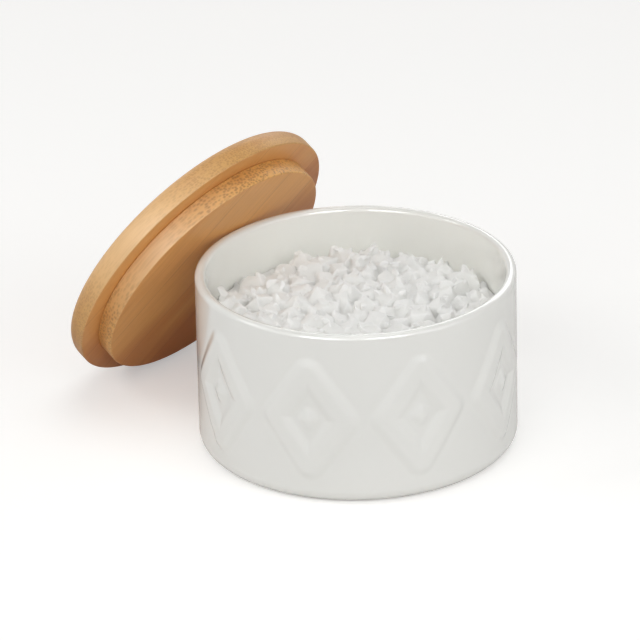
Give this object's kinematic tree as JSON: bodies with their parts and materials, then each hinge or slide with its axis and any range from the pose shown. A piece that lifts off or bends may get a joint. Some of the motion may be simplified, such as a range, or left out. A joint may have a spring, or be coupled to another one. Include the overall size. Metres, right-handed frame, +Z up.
{
  "type": "salt pot with loose lid",
  "caption": "Round glazed ceramic salt pot with raised lozenges, filled with coarse salt, and a loose stepped bamboo lid leaning on its lip.",
  "frame": {"origin": "centre of the pot's foot ring, on the surface it stands on", "axes": "+Z up; the front of the pot with the raised lozenges faces -Y; +X is to the right of someone facing the front"},
  "size_m": [0.1471, 0.1446, 0.0919],
  "materials": {
    "glaze": "gloss",
    "salt": "satin",
    "bamboo": "satin"
  },
  "bodies": {
    "pot": {"pot": "glaze", "salt_bed": "salt", "salt_crystals": "salt"},
    "lid": {"lid_board": "bamboo", "lid_plug": "bamboo"}
  },
  "joints": [
    {"name": "lid_lift", "type": "slide", "parent": "pot", "child": "lid", "axis": [0, 0, 1], "range_m": [0, 0.12]}
  ]
}
